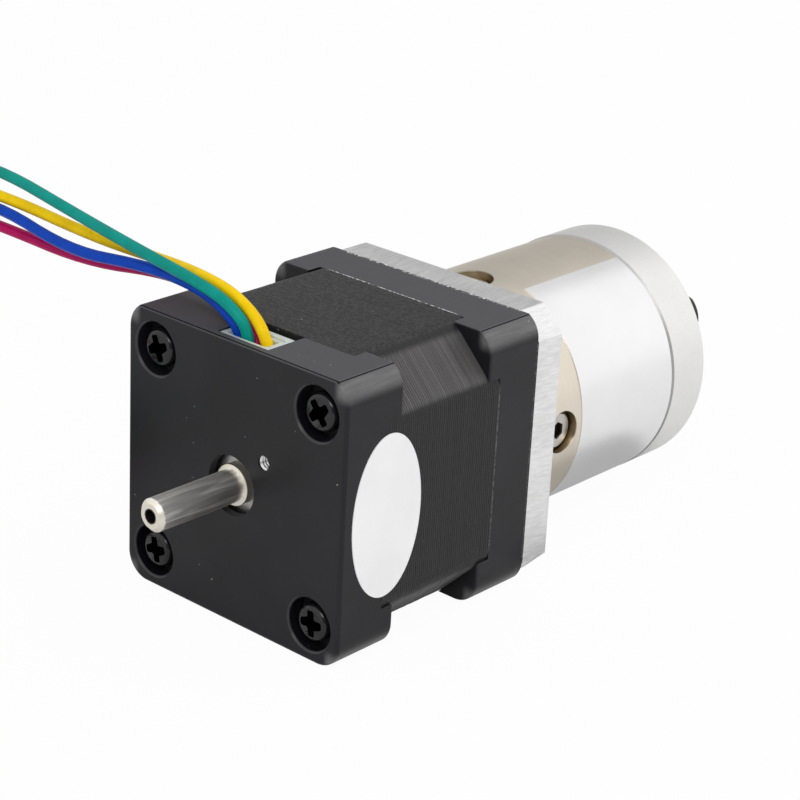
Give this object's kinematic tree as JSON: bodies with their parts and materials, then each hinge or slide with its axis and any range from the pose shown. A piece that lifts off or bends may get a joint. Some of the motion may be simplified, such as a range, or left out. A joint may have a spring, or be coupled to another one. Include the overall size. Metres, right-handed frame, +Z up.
{
  "type": "geared stepper motor",
  "caption": "Square stepper motor with a round planetary gearbox, a flatted output shaft, a short rear shaft and coloured leads from a moulded exit.",
  "frame": {"origin": "centre of the gearbox's front mounting face, on the shaft axis", "axes": "+Y along the shaft axis towards the tip of the output shaft, +Z up towards the lead exit, +X towards the side with the oval label"},
  "size_m": [0.0882, 0.1197, 0.0446],
  "materials": {
    "cap_black": "die-cast aluminium, satin black paint",
    "lamination": "stacked steel sheets under thin black paint",
    "milled_aluminium": "milled, bright",
    "turned_aluminium": "turned, satin",
    "ring_gear_steel": "satin, warm grey plating",
    "shaft_steel": "ground",
    "gear_steel": "machined",
    "bearing_steel": "polished",
    "spring_steel": "bright",
    "black_screw": "black oxide",
    "bright_screw": "zinc plated",
    "rotor_iron": "stacked electrical steel",
    "magnet": "plated magnet",
    "copper": "enamelled copper wire",
    "insulator_nylon": "moulded nylon",
    "grommet_nylon": "milky nylon",
    "oval_film": "plain white film",
    "foil_film": "plain silver foil",
    "lead_green": "glossy sleeve",
    "lead_yellow": "glossy sleeve",
    "lead_blue": "glossy sleeve",
    "lead_red": "glossy sleeve",
    "tie_nylon": "nylon",
    "tinned_copper": "tinned strands"
  },
  "bodies": {
    "housing": {"rear_end_cap": "cap_black", "front_end_cap": "cap_black", "stator_stack": "lamination", "rear_insulator": "insulator_nylon", "front_insulator": "insulator_nylon", "phase_a_coils": "copper", "phase_b_coils": "copper", "motor_screws": "black_screw", "lead_grommet": "grommet_nylon", "oval_label": "oval_film", "rear_bearing_outer_ring": "bearing_steel", "front_bearing_outer_ring": "bearing_steel", "motor_bearing_shields": "bearing_steel", "preload_washer": "spring_steel", "adapter_plate": "milled_aluminium", "adapter_screws": "bright_screw", "ring_gear_housing": "ring_gear_steel", "housing_screws": "bright_screw", "front_flange": "turned_aluminium", "thrust_washer": "spring_steel", "inner_output_bearing_outer_ring": "bearing_steel", "outer_output_bearing_outer_ring": "bearing_steel", "output_bearing_shields": "bearing_steel", "bearing_spacer_ring": "spring_steel", "gearbox_label": "foil_film", "lead_green": "lead_green", "lead_yellow": "lead_yellow", "lead_blue": "lead_blue", "lead_red": "lead_red", "lead_hank": "lead_red", "lead_tie": "tie_nylon", "lead_tips": "tinned_copper"},
    "rotor": {"rotor_shaft": "shaft_steel", "rotor_core_rear": "rotor_iron", "rotor_core_front": "rotor_iron", "rotor_magnet": "magnet", "rear_bearing_inner_ring": "bearing_steel", "front_bearing_inner_ring": "bearing_steel", "first_sun": "gear_steel"},
    "motor_balls": {"rear_bearing_balls": "bearing_steel", "front_bearing_balls": "bearing_steel", "motor_bearing_cages": "bearing_steel"},
    "first_carrier": {"first_carrier": "gear_steel", "first_planet_pins": "gear_steel", "second_sun": "gear_steel"},
    "output": {"output_carrier": "gear_steel", "second_planet_pins": "gear_steel", "output_shaft": "shaft_steel", "inner_output_bearing_inner_ring": "bearing_steel", "outer_output_bearing_inner_ring": "bearing_steel", "retaining_ring": "spring_steel"},
    "output_balls": {"inner_output_bearing_balls": "bearing_steel", "outer_output_bearing_balls": "bearing_steel", "output_bearing_cages": "bearing_steel"},
    "first_planet_1": {"first_planet_1": "gear_steel"},
    "first_planet_2": {"first_planet_2": "gear_steel"},
    "first_planet_3": {"first_planet_3": "gear_steel"},
    "second_planet_1": {"second_planet_1": "gear_steel"},
    "second_planet_2": {"second_planet_2": "gear_steel"},
    "second_planet_3": {"second_planet_3": "gear_steel"}
  },
  "joints": [
    {"name": "rotor_spin", "type": "hinge", "parent": "housing", "child": "rotor", "pos_m": [0, 0, 0], "axis": [0, 1, 0], "continuous": true},
    {"name": "motor_balls_roll", "type": "hinge", "parent": "housing", "child": "motor_balls", "pos_m": [0, 0, 0], "axis": [0, 1, 0], "continuous": true},
    {"name": "first_carrier_spin", "type": "hinge", "parent": "housing", "child": "first_carrier", "pos_m": [0, 0, 0], "axis": [0, 1, 0], "continuous": true},
    {"name": "output_spin", "type": "hinge", "parent": "housing", "child": "output", "pos_m": [0, 0, 0], "axis": [0, 1, 0], "continuous": true},
    {"name": "output_balls_roll", "type": "hinge", "parent": "housing", "child": "output_balls", "pos_m": [0, 0, 0], "axis": [0, 1, 0], "continuous": true},
    {"name": "first_planet_1_spin", "type": "hinge", "parent": "first_carrier", "child": "first_planet_1", "pos_m": [0, 0, 0.008], "axis": [0, 1, 0], "continuous": true},
    {"name": "first_planet_2_spin", "type": "hinge", "parent": "first_carrier", "child": "first_planet_2", "pos_m": [0.00693, 0, -0.004], "axis": [0, 1, 0], "continuous": true},
    {"name": "first_planet_3_spin", "type": "hinge", "parent": "first_carrier", "child": "first_planet_3", "pos_m": [-0.00693, 0, -0.004], "axis": [0, 1, 0], "continuous": true},
    {"name": "second_planet_1_spin", "type": "hinge", "parent": "output", "child": "second_planet_1", "pos_m": [0, 0, 0.00725], "axis": [0, 1, 0], "continuous": true},
    {"name": "second_planet_2_spin", "type": "hinge", "parent": "output", "child": "second_planet_2", "pos_m": [0.00628, 0, -0.00363], "axis": [0, 1, 0], "continuous": true},
    {"name": "second_planet_3_spin", "type": "hinge", "parent": "output", "child": "second_planet_3", "pos_m": [-0.00628, 0, -0.00363], "axis": [0, 1, 0], "continuous": true}
  ],
  "couplings": [
    {"joint": "motor_balls_roll", "follows": "rotor_spin", "ratio": 0.3875},
    {"joint": "first_carrier_spin", "follows": "rotor_spin", "ratio": 0.26984},
    {"joint": "output_spin", "follows": "rotor_spin", "ratio": 0.052075},
    {"joint": "output_balls_roll", "follows": "rotor_spin", "ratio": 0.021047},
    {"joint": "first_planet_1_spin", "follows": "rotor_spin", "ratio": -0.88662},
    {"joint": "first_planet_2_spin", "follows": "rotor_spin", "ratio": -0.88662},
    {"joint": "first_planet_3_spin", "follows": "rotor_spin", "ratio": -0.88662},
    {"joint": "second_planet_1_spin", "follows": "rotor_spin", "ratio": -0.14091},
    {"joint": "second_planet_2_spin", "follows": "rotor_spin", "ratio": -0.14091},
    {"joint": "second_planet_3_spin", "follows": "rotor_spin", "ratio": -0.14091}
  ]
}
